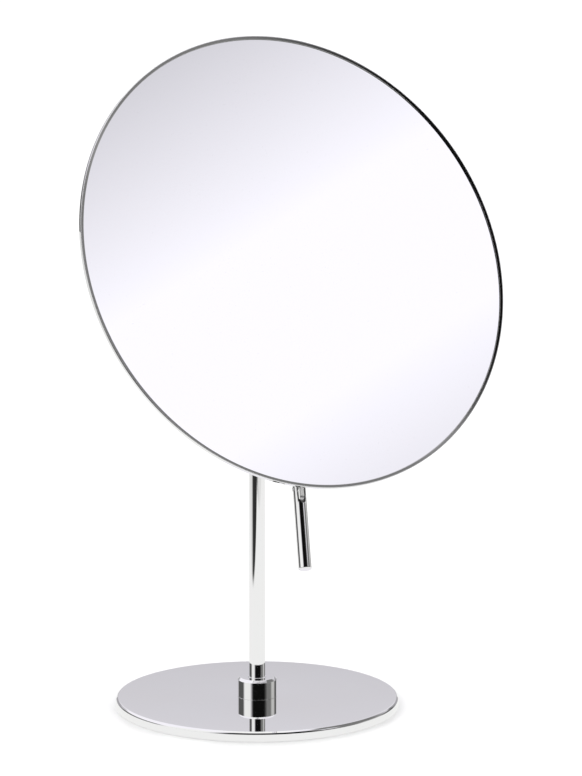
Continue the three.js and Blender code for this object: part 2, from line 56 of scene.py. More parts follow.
# Fineness of the turned pieces
LARGE_STEPS = 256
MEDIUM_STEPS = 128
SMALL_STEPS = 64

SHARP_ANGLE = math.radians(35)

# Details that the CAD frame leaves to the looks
EDGE = 0.15 * MM
SOFT_EDGE = 0.4 * MM
PLATE_BEVEL = 1.0 * MM
PLATE_ROUND = 1.3 * MM
PLATE_RECESS_RADIUS = 67 * MM
COUNTERBORE_RADIUS = 5.5 * MM
COLLAR_BEVEL = 1.2 * MM
POST_WALL = 0.9 * MM
THREAD_PITCH = 0.7 * MM
THREAD_DEPTH = 0.22 * MM
STUD_HOLE = 2.1 * MM
SET_SCREW_HOLE = 1.6 * MM
SET_SCREW_SOCKET = 0.87 * MM
PAN_STEP_RADIUS = 100 * MM
PAN_THICKNESS = 0.8 * MM
RIM_LIP = 1.7 * MM
RIM_LIP_EDGE = 0.2 * MM
RIM_LIP_RISE = 0.5 * MM
RIM_SIDE = 2.1 * MM
RIM_TAPER = 3.4 * MM
RIM_CURL = 2.1 * MM
RIM_WALL = 0.7 * MM
GLASS_ARRIS = 0.9 * MM
HUB_SCREW_HOLE = 1.7 * MM
BRACKET_SCREW_HOLE = 1.5 * MM
SLOT_WIDTH = 2.8 * MM
SLOT_LENGTH = 12.6 * MM
TONGUE_WIDTH = 2.2 * MM
TONGUE_DEPTH = 5.6 * MM
STRIP_END = 99 * MM
WEB_FRONT_BEND = 106 * MM
WEB_REAR_BEND = 103 * MM
PIN_HOLE = 1.15 * MM
PAD_GROOVE_DEPTH = 0.25 * MM
PAD_GROOVE_HALF_WIDTH = 0.7 * MM
PAD_GROOVE_PLACES = (0.3, 0.5, 0.7, 0.88)      # shares of the pad's radius
BASE_SCREW_SHANK = 2.0 * MM
BASE_SCREW_SOCKET = 1.45 * MM
WASHER_HALF_GAP = 0.3 * MM
STUD_SHANK = 2.0 * MM
LINER_GAP = 0.1 * MM
LINER_THICKNESS = 1.0 * MM
CAVITY_GAP = 0.2 * MM
HOUSING_BODY_RADIUS = 9.8 * MM
HOUSING_BORE_RADIUS = 8.0 * MM
HOUSING_FLANGE = 1.7 * MM
SPRING_THICKNESS = 0.5 * MM
SCREW_HEAD = 1.8 * MM
HUB_SCREW_SHANK, HUB_SCREW_PITCH = 1.4 * MM, 0.5 * MM
BRACKET_SCREW_SHANK, BRACKET_SCREW_PITCH = 1.2 * MM, 0.45 * MM
STRIP_THICKNESS = 1.8 * MM


# ---- places: each turned piece is described about an axis of its own ----
def joint(name):
    return next(j for j in frame["joints"] if j["name"] == name)


def axis_place(origin, axis, up):
    """A matrix whose Z is the axis and whose Y is as near to up as it can be."""
    z = axis.normalized()
    y = (up - z * up.dot(z)).normalized()
    x = y.cross(z)
    place = Matrix((x, y, z)).transposed().to_4x4()
    place.translation = origin
    return place


BALL = Vector(joint("mirror_spin")["pos_m"])
MIRROR_AXIS = Vector(joint("mirror_spin")["axis"])
rod_low, rod_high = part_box("handle_rod")
STAND = Matrix.Identity(4)
STUD = axis_place(BALL, Vector((0, -1, 0)), Vector((0, 0, 1)))
HEAD = axis_place(BALL, MIRROR_AXIS, BALL - (rod_low + rod_high) / 2)


class Extent:
    """A CAD node's size about an axis: radii, lowest and highest point along it, and its corners."""

    def __init__(self, node, place):
        inverse = place.inverted()
        points = [inverse @ v.co for v in NODES[node].data.vertices]
        radii = [math.hypot(p.x, p.y) for p in points]
        self.inner, self.outer = min(radii), max(radii)
        self.corner_low = Vector([min(p[i] for p in points) for i in range(3)])
        self.corner_high = Vector([max(p[i] for p in points) for i in range(3)])
        self.middle = (self.corner_low + self.corner_high) / 2
        self.low, self.high = self.corner_low.z, self.corner_high.z


# ---- outlines ----
def fillet(before, corner, after, size, segments):
    """The points of a rounded corner."""
    to_before, to_after = before - corner, after - corner
    half = to_before.angle(to_after) / 2
    reach = min(size / math.tan(half), 0.49 * to_before.length, 0.49 * to_after.length)
    radius = reach * math.tan(half)
    start = corner + to_before.normalized() * reach
    end = corner + to_after.normalized() * reach
    inwards = (to_before.normalized() + to_after.normalized()).normalized()
    centre = corner + inwards * (radius / math.sin(half))
    from_centre, to_end = start - centre, end - centre
    turn = from_centre.angle_signed(to_end)
    points = []
    for i in range(segments + 1):
        angle = -turn * i / segments
        points.append(centre + Matrix.Rotation(angle, 2) @ from_centre)
    return points


def rounded(corners, segments=6):
    """An outline from (radius, height) or (radius, height, rounding) corners."""
    spots = [Vector(c[:2]) for c in corners]
    on_axis = spots[0].x < 1e-9 and spots[-1].x < 1e-9
    outline = []
    for i, corner in enumerate(corners):
        is_end = on_axis and i in (0, len(corners) - 1)
        if is_end or len(corner) < 3 or corner[2] == 0:
            outline.append(spots[i])
        else:
            outline += fillet(spots[i - 1], spots[i], spots[(i + 1) % len(spots)], corner[2], segments)
    return outline


def arc(radius, start, end, segments=24):
    """(radius, height) points on a circle about the origin, by degrees from the axis."""
    angles = [math.radians(start + (end - start) * i / segments) for i in range(segments + 1)]
    return [(abs(radius * math.sin(a)) if abs(a) > 1e-9 else 0.0, radius * math.cos(a)) for a in angles]


def fine_run(start, end, step):
    """Evenly spaced heights from start to end, for a stretch that carries a thread."""
    count = max(2, round(abs(end - start) / step))
    return [start + (end - start) * i / count for i in range(count + 1)]


# ---- meshes ----
def new_object(name, bm, place):
    bmesh.ops.recalc_face_normals(bm, faces=bm.faces)
    bm.transform(place)
    mesh = bpy.data.meshes.new(name)
    bm.to_mesh(mesh)
    bm.free()
    mesh.shade_smooth()
    obj = bpy.data.objects.new(name, mesh)
    bpy.context.scene.collection.objects.link(obj)
    return obj


def lathe(name, outline, place, steps=MEDIUM_STEPS, thread=None):
    """A solid turned about the place's Z. thread is (low, high, pitch, depth) along that axis."""
    bm = bmesh.new()
    rings = []
    for radius, height in outline:
        if radius < 1e-9:
            rings.append([bm.verts.new((0, 0, height))])
            continue
        ring = []
        for k in range(steps):
            angle = 2 * math.pi * k / steps
            reach = radius - thread_cut(height, angle, thread)
            ring.append(bm.verts.new((reach * math.cos(angle), reach * math.sin(angle), height)))
        rings.append(ring)
    if len(rings[0]) > 1:
        rings.append(rings[0])
    for lower, upper in zip(rings, rings[1:]):
        for k in range(steps):
            following = (k + 1) % steps
            corners = [lower[k % len(lower)], lower[following % len(lower)],
                       upper[following % len(upper)], upper[k % len(upper)]]
            distinct = list(dict.fromkeys(corners))
            if len(distinct) > 2:
                bm.faces.new(distinct)
    return new_object(name, bm, place)


def thread_cut(height, angle, thread):
    """How deep a screw thread cuts at this height and turn."""
    if thread is None:
        return 0.0
    low, high, pitch, depth = thread
    if not low < height < high:
        return 0.0
    fade = min(1.0, (height - low) / pitch, (high - height) / pitch)
    phase = (height / pitch - angle / (2 * math.pi)) % 1.0
    return depth * fade * (1 - abs(2 * phase - 1))


def box_object(name, low, high, place):
    bm = bmesh.new()
    bmesh.ops.create_cube(bm, size=1)
    size, middle = high - low, (high + low) / 2
    bmesh.ops.transform(bm, matrix=Matrix.Translation(middle) @ Matrix.Diagonal((*size, 1)), verts=bm.verts)
    return new_object(name, bm, place)


def prism(name, outline, low, high, place):
    """A straight prism along the place's Z over a closed outline of (x, y) points."""
    bm = bmesh.new()
    floor = [bm.verts.new((x, y, low)) for x, y in outline]
    roof = [bm.verts.new((x, y, high)) for x, y in outline]
    bm.faces.new(floor)
    bm.faces.new(roof)
    for i in range(len(outline)):
        j = (i + 1) % len(outline)
        bm.faces.new((floor[i], floor[j], roof[j], roof[i]))
    return new_object(name, bm, place)


def rod(name, radius, low, high, place, steps=SMALL_STEPS):
    """A plain rod along the place's Z, used as a drill."""
    return lathe(name, [(0, low), (radius, low), (radius, high), (0, high)], place, steps)


def hexagon(radius):
    return [(radius * math.cos(math.pi * k / 3), radius * math.sin(math.pi * k / 3)) for k in range(6)]


def apply_modifiers(obj):
    """Makes the modifiers' result the object's own mesh."""
    depsgraph = bpy.context.evaluated_depsgraph_get()
    baked = bpy.data.meshes.new_from_object(obj.evaluated_get(depsgraph))
    old = obj.data
    obj.modifiers.clear()
    obj.data = baked
    bpy.data.meshes.remove(old)
    return obj


def drop_slivers(obj):
    """Merges points that a cut left almost on top of each other, and the faces between them."""
    bm = bmesh.new()
    bm.from_mesh(obj.data)
    bmesh.ops.remove_doubles(bm, verts=bm.verts, dist=0.001 * MM)
    bmesh.ops.dissolve_degenerate(bm, edges=bm.edges, dist=0.001 * MM)
    bm.to_mesh(obj.data)
    bm.free()


def combine(obj, others, operation):
    """Joins, cuts or intersects obj with the others, which are used up."""
    for other in others:
        modifier = obj.modifiers.new("combine", "BOOLEAN")
        modifier.operation = operation
        modifier.solver = "EXACT"
        modifier.object = other
        apply_modifiers(obj)
        bpy.data.objects.remove(other)
    drop_slivers(obj)
    obj.data.shade_smooth()
    obj.data.set_sharp_from_angle(angle=SHARP_ANGLE)
    return obj


def cut(obj, *others):
    return combine(obj, others, "DIFFERENCE")


def add_edges(obj, width=EDGE, angle=35):
    """Breaks the sharp edges with a small bevel."""
    modifier = obj.modifiers.new("edges", "BEVEL")
    modifier.width = width
    modifier.segments = 2
    modifier.limit_method = "ANGLE"
    modifier.angle_limit = math.radians(angle)
    modifier.use_clamp_overlap = True
    apply_modifiers(obj)
    drop_slivers(obj)
    return obj


def keep_flats_flat(obj):
    """Gives flat faces true normals, so that they mirror without a bend near their edges."""
    modifier = obj.modifiers.new("flats", "WEIGHTED_NORMAL")
    modifier.mode = "FACE_AREA"
    modifier.weight = 100
    modifier.keep_sharp = True


# ---- node materials ----
class Nodes:
    """Short calls for building a node tree."""

    def __init__(self, tree):
        self.tree = tree
        tree.nodes.clear()

    def node(self, kind, inputs=None, **settings):
        made = self.tree.nodes.new(kind)
        for key, value in settings.items():
            setattr(made, key, value)
        for key, value in (inputs or {}).items():
            self.feed(made.inputs[key], value)
        return made

    def feed(self, socket, value):
        if isinstance(value, bpy.types.NodeSocket):
            self.tree.links.new(value, socket)
        else:
            socket.default_value = value

    def math(self, operation, a, b=0.0, clamp=False):
        made = self.node("ShaderNodeMath", {0: a, 1: b}, operation=operation, use_clamp=clamp)
        return made.outputs[0]

    def noise(self, vector, scale, detail=2.0, roughness=0.5):
        made = self.node("ShaderNodeTexNoise", {"Vector": vector, "Scale": scale, "Detail": detail,
                                                "Roughness": roughness})
        return made.outputs["Fac"]

    def remap(self, value, low, high, new_low, new_high, smooth=False):
        made = self.node("ShaderNodeMapRange", {"Value": value, "From Min": low, "From Max": high,
                                                "To Min": new_low, "To Max": new_high})
        made.interpolation_type = "SMOOTHSTEP" if smooth else "LINEAR"
        return made.outputs["Result"]

    def stretch(self, vector, scale):
        made = self.node("ShaderNodeMapping", {"Vector": vector, "Scale": scale})
        return made.outputs["Vector"]

    def bump(self, height, strength, distance):
        made = self.node("ShaderNodeBump", {"Height": height, "Strength": strength, "Distance": distance})
        return made.outputs["Normal"]

    def mix_color(self, factor, a, b):
        made = self.node("ShaderNodeMix", data_type="RGBA")
        self.feed(made.inputs[0], factor)
        self.feed(made.inputs[6], a)
        self.feed(made.inputs[7], b)
        return made.outputs[2]


def grey(value, tint=(1, 1, 1)):
    return (value * tint[0], value * tint[1], value * tint[2], 1)


def start_material(name):
    material = bpy.data.materials.new(name)
    material.use_nodes = True
    nodes = Nodes(material.node_tree)
    shader = nodes.node("ShaderNodeBsdfPrincipled")
    output = nodes.node("ShaderNodeOutputMaterial")
    nodes.tree.links.new(shader.outputs["BSDF"], output.inputs["Surface"])
    coords = nodes.node("ShaderNodeTexCoord").outputs["Object"]
    return material, nodes, shader, coords


def plated(name, tone, gloss, smear, wave):
    """Chrome plate: faint colour shift, hairline scratches, smears, and the plating's slight wave."""
    material, n, shader, coords = start_material(name)
    cool = grey(tone, (0.985, 0.995, 1.0))
    warm = grey(tone * 0.97, (1.0, 0.99, 0.97))
    n.feed(shader.inputs["Base Color"], n.mix_color(n.noise(coords, 18), cool, warm))
    n.feed(shader.inputs["Metallic"], 1.0)
    smears = n.remap(n.noise(coords, 32, 4, 0.6), 0.52, 0.72, 0, smear, True)
    along = n.noise(n.stretch(coords, (2200, 2600, 90)), 1, 2)
    across = n.noise(n.stretch(coords, (160, 2400, 2400)), 1, 2)
    hairs = n.math("ADD", n.remap(along, 0.66, 0.8, 0, 1), n.remap(across, 0.68, 0.8, 0, 1), True)
    roughness = n.math("ADD", n.math("ADD", gloss, smears), n.math("MULTIPLY", hairs, smear * 0.6))
    n.feed(shader.inputs["Roughness"], roughness)
    swell = n.math("ADD", n.noise(coords, 120, 1), n.math("MULTIPLY", hairs, -0.15))
    n.feed(shader.inputs["Normal"], n.bump(swell, wave, 0.02 * MM))
    return material


def turned_steel(name):
    """Bright zinc-plated steel with cutting marks and a mottled tone."""
    material, n, shader, coords = start_material(name)
    mottle = n.noise(coords, 260, 4, 0.6)
    cool, warm = grey(0.55, (1, 1, 1.03)), grey(0.75, (1, 0.99, 0.97))
    n.feed(shader.inputs["Base Color"], n.mix_color(mottle, cool, warm))
    n.feed(shader.inputs["Metallic"], 1.0)
    marks = n.noise(n.stretch(coords, (900, 900, 9000)), 1, 3, 0.7)
    n.feed(shader.inputs["Roughness"], n.remap(marks, 0.3, 0.7, 0.2, 0.42))
    n.feed(shader.inputs["Normal"], n.bump(marks, 0.25, 0.03 * MM))
    n.feed(shader.inputs["Anisotropic"], 0.4)
    return material


def silvered_glass(name):
    """Silver behind clear glass, with faint wiping marks, dust specks, and a darker ring at the glass's own edge
    that is partly painted shade under the rim's lip.
    """
    material, n, shader, coords = start_material(name)
    local = n.node("ShaderNodeMapping", {"Vector": coords}, vector_type="POINT")
    turn = HEAD.to_3x3().inverted().to_euler()
    n.feed(local.inputs["Rotation"], turn)
    n.feed(local.inputs["Location"], -(HEAD.to_3x3().inverted() @ BALL))
    place = n.node("ShaderNodeSeparateXYZ", {"Vector": local.outputs["Vector"]})
    squares = [n.math("MULTIPLY", place.outputs[i], place.outputs[i]) for i in (0, 1)]
    radius = n.math("SQRT", n.math("ADD", squares[0], squares[1]))
    edge = Extent("mirror_glass", HEAD).outer
    # painted shade: the silver darkens in a thin ring near the glass edge, under the rim's lip; partly the glass's
    # own edge tone
    edge_ring_and_shade = n.remap(radius, edge - 1.1 * MM, edge - 0.5 * MM, 0, 1, True)
    specks = n.remap(n.noise(coords, 1400, 0), 0.8, 0.86, 0, 0.1)
    # dust specks, plus the painted edge shade
    specks_and_edge_shade = n.math("ADD", n.math("MULTIPLY", edge_ring_and_shade, 0.7), specks, True)
    n.feed(shader.inputs["Base Color"], n.mix_color(specks_and_edge_shade, grey(0.96, (0.985, 0.99, 1.0)), grey(0.3)))
    n.feed(shader.inputs["Metallic"], 1.0)
    wiped = n.remap(n.noise(n.stretch(coords, (14, 30, 22)), 1, 5, 0.65), 0.5, 0.75, 0, 0.035, True)
    n.feed(shader.inputs["Roughness"], n.math("ADD", 0.012, wiped))
    n.feed(shader.inputs["Coat Weight"], 0.6)
    n.feed(shader.inputs["Coat Roughness"], 0.01)
    return material


def nylon(name):
    material, n, shader, coords = start_material(name)
    cloud = n.noise(coords, 300, 3)
    n.feed(shader.inputs["Base Color"], n.mix_color(cloud, (0.82, 0.8, 0.73, 1), (0.9, 0.89, 0.84, 1)))
    n.feed(shader.inputs["Roughness"], n.remap(cloud, 0.3, 0.7, 0.38, 0.55))
    n.feed(shader.inputs["Subsurface Weight"], 0.15)
    n.feed(shader.inputs["Subsurface Radius"], (0.8 * MM, 0.7 * MM, 0.5 * MM))
    n.feed(shader.inputs["Normal"], n.bump(n.noise(coords, 3000, 2), 0.2, 0.03 * MM))
    return material


def rubber(name):
    material, n, shader, coords = start_material(name)
    grain = n.noise(coords, 2200, 3, 0.65)
    dust = n.remap(n.noise(coords, 90, 5, 0.7), 0.5, 0.75, 0, 1, True)
    n.feed(shader.inputs["Base Color"], n.mix_color(dust, grey(0.022), grey(0.06, (1, 0.98, 0.94))))
    n.feed(shader.inputs["Roughness"], n.remap(grain, 0.3, 0.7, 0.7, 0.92))
    n.feed(shader.inputs["Normal"], n.bump(grain, 0.5, 0.06 * MM))
    return material


def foam(name):
    material, n, shader, coords = start_material(name)
    cells = n.node("ShaderNodeTexVoronoi", {"Vector": coords, "Scale": 1100}).outputs["Distance"]
    n.feed(shader.inputs["Base Color"], n.mix_color(cells, grey(0.03), grey(0.11)))
    n.feed(shader.inputs["Roughness"], 0.95)
    n.feed(shader.inputs["Normal"], n.bump(cells, 0.8, 0.25 * MM))
    return material


MATERIALS = {
    "chrome": plated("polished_chrome", 0.93, 0.022, 0.05, 0.02),
    "pan": plated("spun_chrome", 0.8, 0.09, 0.09, 0.08),
    "steel": turned_steel("zinc_steel"),
    "mirror": silvered_glass("silvered_glass"),
    "nylon": nylon("natural_nylon"),
    "rubber": rubber("black_rubber"),
    "foam": foam("closed_cell_foam"),
}


def stands_for(obj, node):
    """Gives a piece its CAD node's material, body and slot, and hides the node."""
    obj.name = node + "_fine"
    obj.data.name = obj.name
    obj.data.materials.clear()
    obj.data.materials.append(MATERIALS[SLOT_OF[node]])
    keep_flats_flat(obj)
    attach(obj, BODY_OF[node])
    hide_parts(node)


# ---- stand ----
def foot_pad():
    size = Extent("foot_pad", STAND)
    groove_top = size.low + PAD_GROOVE_DEPTH
    outline = [(0, size.low)]
    for radius in (size.outer * share for share in PAD_GROOVE_PLACES):
        near, far = radius - PAD_GROOVE_HALF_WIDTH, radius + PAD_GROOVE_HALF_WIDTH
        outline += [(near, size.low), (near, groove_top), (far, groove_top), (far, size.low)]
    outline += [(size.outer, size.low, EDGE), (size.outer, size.high, EDGE), (0, size.high)]
    stands_for(lathe("pad", rounded(outline, 3), STAND, LARGE_STEPS), "foot_pad")


def base_plate():
    size = Extent("base_plate", STAND)
    seat = Extent("lock_washer", STAND).high
    recess = Extent("foot_pad", STAND).high
    outline = rounded([
        (size.inner, seat),
        (COUNTERBORE_RADIUS, seat),
        (COUNTERBORE_RADIUS, recess),
        (PLATE_RECESS_RADIUS, recess, EDGE),
        (PLATE_RECESS_RADIUS, size.low, EDGE),
        (size.outer, size.low, SOFT_EDGE),
        (size.outer, size.high - PLATE_BEVEL, PLATE_ROUND),
        (size.outer - PLATE_BEVEL, size.high, SOFT_EDGE),
        (size.inner, size.high),
    ], 8)
    stands_for(lathe("plate", outline, STAND, LARGE_STEPS), "base_plate")


def base_screw():
    size = Extent("base_screw", STAND)
    head_top = Extent("lock_washer", STAND).low
    shank = BASE_SCREW_SHANK
    run = [(shank, z) for z in fine_run(head_top + EDGE, size.high - 0.5 * MM, THREAD_PITCH / 8)]
    outline = rounded([(0, size.low), (size.outer, size.low, SOFT_EDGE), (size.outer, head_top, EDGE)])
    outline += run + [(shank - 0.5 * MM, size.high), (0, size.high)]
    thread = (head_top + MM, size.high, THREAD_PITCH, THREAD_DEPTH)
    screw = lathe("screw", outline, STAND, SMALL_STEPS, thread)
    socket = prism("socket", hexagon(BASE_SCREW_SOCKET), size.low - MM, size.low + 1.6 * MM, STAND)
    stands_for(cut(screw, socket), "base_screw")


def lock_washer():
    size = Extent("lock_washer", STAND)
    outline = rounded([(size.inner, size.low, EDGE), (size.outer, size.low, EDGE),
                       (size.outer, size.high, EDGE), (size.inner, size.high, EDGE)], 3)
    washer = lathe("washer", outline, STAND, SMALL_STEPS)
    gap_low = Vector((-WASHER_HALF_GAP, 0, size.low - MM))
    gap_high = Vector((WASHER_HALF_GAP, 6 * MM, size.high + MM))
    gap = box_object("gap", gap_low, gap_high, STAND)
    stands_for(cut(washer, gap), "lock_washer")


def set_screw_place(node):
    """Along +Y, through the middle of the node."""
    low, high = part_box(node)
    return axis_place(Vector((0, 0, (low.z + high.z) / 2)), Vector((0, 1, 0)), Vector((0, 0, 1)))


def base_collar():
    size = Extent("base_collar", STAND)
    outline = rounded([
        (size.inner, size.low),
        (size.outer, size.low, EDGE),
        (size.outer, size.high - COLLAR_BEVEL, EDGE),
        (size.outer - COLLAR_BEVEL, size.high, EDGE),
        (size.inner + SOFT_EDGE, size.high, EDGE),
        (size.inner, size.high - SOFT_EDGE, EDGE),
    ], 5)
    collar = lathe("collar", outline, STAND, LARGE_STEPS)
    drill = rod("drill", SET_SCREW_HOLE, 3 * MM, 12 * MM, set_screw_place("collar_set_screw"))
    stands_for(cut(collar, drill), "base_collar")


def set_screw(node):
    place = set_screw_place(node)
    size = Extent(node, place)
    tip = 0.35 * MM
    outline = [(0, size.low), (size.outer - tip, size.low)]
    outline += [(size.outer, z) for z in fine_run(size.low + tip, size.high - tip, 0.05 * MM)]
    outline += [(size.outer - tip, size.high), (0, size.high)]
    screw = lathe("set_screw", outline, place, SMALL_STEPS, (size.low, size.high, 0.5 * MM, 0.14 * MM))
    socket = prism("socket", hexagon(SET_SCREW_SOCKET), size.high - 1.1 * MM, size.high + MM, place)
    stands_for(cut(screw, socket), node)


def post_tube():
    size = Extent("post_tube", STAND)
    inner = size.outer - POST_WALL
    outline = rounded([(inner, size.low, EDGE), (size.outer, size.low, EDGE),
                       (size.outer, size.high, EDGE), (inner, size.high, EDGE)], 3)
    stands_for(lathe("tube", outline, STAND, LARGE_STEPS), "post_tube")


def post_foot_plug():
    size = Extent("post_foot_plug", STAND)
    chamfer = 0.3 * MM
    outline = rounded([
        (size.inner + chamfer, size.low),
        (size.outer, size.low, EDGE),
        (size.outer, size.high, EDGE),
        (size.inner + chamfer, size.high),
        (size.inner, size.high - chamfer),
        (size.inner, size.low + chamfer),
    ], 4)
    stands_for(lathe("plug", outline, STAND, SMALL_STEPS), "post_foot_plug")


def post_head():
    size = Extent("post_head", STAND)
    tube = Extent("post_tube", STAND)
    outline = rounded([
        (0, size.low),
        (size.outer, size.low, 0.8 * MM),
        (size.outer, size.high, 2.4 * MM),
        (0, size.high),
    ], 12)
    body = lathe("post_block", outline, STAND, LARGE_STEPS)
    tube_drill = rod("tube_drill", tube.outer + 0.1 * MM, size.low - MM, tube.high + 0.1 * MM, STAND)
    stud_drill = rod("stud_drill", STUD_HOLE, Extent("ball_stud", STUD).low - 0.5 * MM, -12 * MM, STUD)
    screw_drill = rod("screw_drill", SET_SCREW_HOLE, 2.5 * MM, 8 * MM, set_screw_place("head_set_screw"))
    stands_for(cut(body, tube_drill, stud_drill, screw_drill), "post_head")


def ball_stud():
    size = Extent("ball_stud", STUD)
    radius, shank = size.high, STUD_SHANK
    neck_angle = 180 - math.degrees(math.asin(shank / radius))
    nut = Extent("stud_locknut", STUD)
    outline = [(0, size.low), (shank - SOFT_EDGE, size.low)]
    outline += [(shank, z) for z in fine_run(size.low + SOFT_EDGE, nut.high + 1.5 * MM, THREAD_PITCH / 8)]
    outline += arc(radius, neck_angle, 0, 48)
    thread = (size.low, nut.high + 1.2 * MM, THREAD_PITCH, THREAD_DEPTH)
    stands_for(lathe("stud", outline, STUD, SMALL_STEPS, thread), "ball_stud")


def stud_locknut():
    size = Extent("stud_locknut", STUD)
    nut = prism("nut", hexagon(size.outer), size.low, size.high, STUD)
    flats = size.outer * math.cos(math.pi / 6)
    drop = 0.45 * MM
    chamfer = lathe("chamfer", [
        (0, size.low), (flats, size.low), (size.outer + EDGE, size.low + drop),
        (size.outer + EDGE, size.high - drop), (flats, size.high), (0, size.high),
    ], STUD, MEDIUM_STEPS)
    combine(nut, [chamfer], "INTERSECT")
    cut(nut, rod("bore", STUD_HOLE, size.low - MM, size.high + MM, STUD))
    stands_for(nut, "stud_locknut")


# ---- ball joint ----
LINER_INNER = Extent("ball_stud", STUD).high + LINER_GAP
LINER_OUTER = LINER_INNER + LINER_THICKNESS
CAVITY = LINER_OUTER + CAVITY_GAP


def liners():
    front = arc(LINER_INNER, 0, 34) + arc(LINER_OUTER, 34, 0)
    stands_for(lathe("front_liner", front, HEAD, MEDIUM_STEPS), "ball_liner_front")
    rear = arc(LINER_OUTER, 116, 98, 8) + arc(LINER_INNER, 98, 116, 8)
    stands_for(lathe("rear_liner", rear, HEAD, MEDIUM_STEPS), "ball_liner_rear")


def hub_places():
    """Where the four hub screws stand, from their CAD boxes."""
    return [Extent(f"hub_screw_{i}", HEAD).middle for i in range(1, 5)]


def bracket_places():
    return [Extent(f"bracket_screw_{i}", HEAD).middle for i in (1, 2)]


def drills(places, radius, low, high):
    return [rod("drill", radius, low, high, HEAD @ Matrix.Translation((p.x, p.y, 0))) for p in places]


def socket_housing():
    size = Extent("socket_housing", HEAD)
    body, bore = HOUSING_BODY_RADIUS, HOUSING_BORE_RADIUS
    flange_rear = size.high - HOUSING_FLANGE
    seat = arc(CAVITY, 90, 118, 16)
    outline = [Vector(p) for p in seat]
    outline += rounded([
        seat[-1],
        (body, size.low, 1.4 * MM),
        (body, flange_rear, 1.2 * MM),
        (size.outer, flange_rear, 0.5 * MM),
        (size.outer, size.high, EDGE),
        (bore, size.high, EDGE),
        (bore, 0),
        seat[0],
    ], 8)[1:-1]
    cup = lathe("cup", outline, HEAD, LARGE_STEPS)
    cut(cup, *drills(hub_places(), HUB_SCREW_HOLE, 0.5 * MM, size.high + MM))
    stands_for(cup, "socket_housing")


def pressure_pad():
    size = Extent("pressure_pad", HEAD)
    face = arc(CAVITY, 0, 60)
    outline = [Vector(p) for p in face]
    outline += [Vector(p) for p in ((size.outer, size.low), (size.outer, size.high), (0, size.high))]
    stands_for(lathe("pressure", outline, HEAD, MEDIUM_STEPS), "pressure_pad")


def disc_spring():
    size = Extent("disc_spring", HEAD)
    thick = SPRING_THICKNESS
    outline = rounded([
        (size.inner, size.high - thick, EDGE),
        (size.outer, size.low, EDGE),
        (size.outer, size.low + thick, EDGE),
        (size.inner, size.high, EDGE),
    ], 3)
    stands_for(lathe("spring", outline, HEAD, MEDIUM_STEPS), "disc_spring")


def hub_plate():
    size = Extent("hub_plate", HEAD)
    outline = rounded([(0, size.low), (size.outer, size.low, EDGE),
                       (size.outer, size.high, EDGE), (0, size.high)])
    plate = lathe("hub", outline, HEAD, MEDIUM_STEPS)
    cut(plate, *drills(hub_places(), HUB_SCREW_HOLE, size.low - MM, size.high + MM))
    stands_for(plate, "hub_plate")


def head_screw(node, shank, pitch):
    """A slotted cheese-head screw with its thread."""
    corner = Extent(node, HEAD).middle
    place = HEAD @ Matrix.Translation((corner.x, corner.y, 0))
    size = Extent(node, place)
    head_front = size.low + SCREW_HEAD
    outline = rounded([(0, size.low), (size.outer, size.low, 0.35 * MM), (size.outer, head_front, EDGE)])
    outline += [Vector((shank, z)) for z in fine_run(head_front, size.high - 0.3 * MM, pitch / 8)]
    outline += [Vector((shank - 0.3 * MM, size.high)), Vector((0, size.high))]
    screw = lathe("screw", outline, place, SMALL_STEPS, (head_front, size.high, pitch, pitch * 0.3))
    half_slot = Vector((4 * MM, 0.35 * MM, 0.7 * MM))
    middle = Vector((0, 0, size.low))
    cut(screw, box_object("slot", middle - half_slot, middle + half_slot, place))
    stands_for(screw, node)


# ---- mirror ----
def back_pan():
    size = Extent("back_pan", HEAD)
    rise = size.high - size.low - PAN_THICKNESS
    step = PAN_STEP_RADIUS
    rolled = 2.5 * MM
    outline = rounded([
        (0, size.low),
        (step, size.low, rolled),
        (step + 4 * MM, size.low + rise, rolled),
        (size.outer, size.low + rise, EDGE),
        (size.outer, size.high, EDGE),
        (step + 3.8 * MM, size.high, rolled),
        (step - 0.2 * MM, size.low + PAN_THICKNESS, rolled),
        (0, size.low + PAN_THICKNESS),
    ], 10)
    pan = lathe("pan", outline, HEAD, LARGE_STEPS)
    cut(pan, *drills(hub_places(), HUB_SCREW_HOLE, size.low - MM, size.high + MM))
    cut(pan, *drills(bracket_places(), BRACKET_SCREW_HOLE, size.low - MM, size.high + MM))
    stands_for(pan, "back_pan")


def rim_ring():
    size = Extent("rim_ring", HEAD)
    lip_radius = size.outer - RIM_LIP
    lip_front = size.high - RIM_LIP_RISE
    wall = size.outer - RIM_WALL
    side_rear = size.high - RIM_SIDE
    curl_outer = size.outer - RIM_TAPER
    curl_inner = curl_outer - RIM_CURL
    curl_front = size.low + RIM_WALL
    outline = rounded([
        (lip_radius, lip_front - RIM_LIP_EDGE, 0.08 * MM),
        (wall, lip_front - RIM_LIP_EDGE),
        (wall, side_rear),
        (curl_outer - RIM_WALL / 2, curl_front, 0.5 * MM),
        (curl_inner, curl_front, EDGE),
        (curl_inner, size.low, EDGE),
        (curl_outer, size.low, 0.8 * MM),
        (size.outer, side_rear, 1.0 * MM),
        (size.outer, size.high, 0.35 * MM),
        (lip_radius, lip_front, 0.08 * MM),
    ], 8)
    stands_for(lathe("rim", outline, HEAD, LARGE_STEPS * 2), "rim_ring")


def mirror_glass():
    size = Extent("mirror_glass", HEAD)
    outline = rounded([(0, size.low), (size.outer - GLASS_ARRIS, size.low, EDGE),
                       (size.outer, size.low + GLASS_ARRIS, EDGE),
                       (size.outer, size.high, SOFT_EDGE), (0, size.high)], 6)
    stands_for(lathe("glass", outline, HEAD, LARGE_STEPS * 2), "mirror_glass")


def flat_ring(node, edge, steps=LARGE_STEPS):
    size = Extent(node, HEAD)
    outline = rounded([(size.inner, size.low, edge), (size.outer, size.low, edge),
                       (size.outer, size.high, edge), (size.inner, size.high, edge)], 4)
    stands_for(lathe(node + "_ring", outline, HEAD, steps), node)


